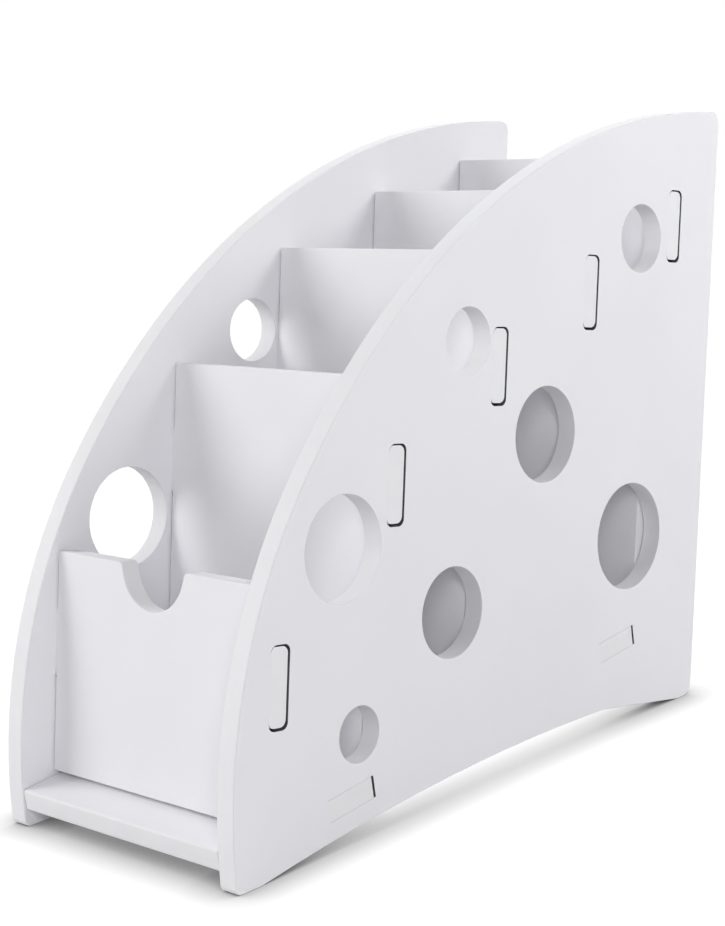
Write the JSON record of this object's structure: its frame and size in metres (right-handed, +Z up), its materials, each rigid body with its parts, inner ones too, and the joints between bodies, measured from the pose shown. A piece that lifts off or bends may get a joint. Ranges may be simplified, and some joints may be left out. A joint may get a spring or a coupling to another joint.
{
  "type": "remote control holder",
  "caption": "Slotted white board holder for remote controls: quarter-round sides with round holes, leaning dividers in rising steps and a front plate with a thumb notch.",
  "frame": {"origin": "on the table, midway between the sides and midway between the foremost and rearmost points of the panels", "axes": "+X to the holder's right as seen from the front, +Y to its back, +Z up"},
  "size_m": [0.09, 0.2262, 0.1838],
  "materials": {
    "white_board": "satin white foamed board with softly eased edges"
  },
  "bodies": {
    "root": {"left_side_panel": "white_board", "right_side_panel": "white_board", "front_plate": "white_board", "front_divider": "white_board", "middle_divider": "white_board", "rear_divider": "white_board", "back_plate": "white_board", "base_board": "white_board"}
  },
  "joints": []
}
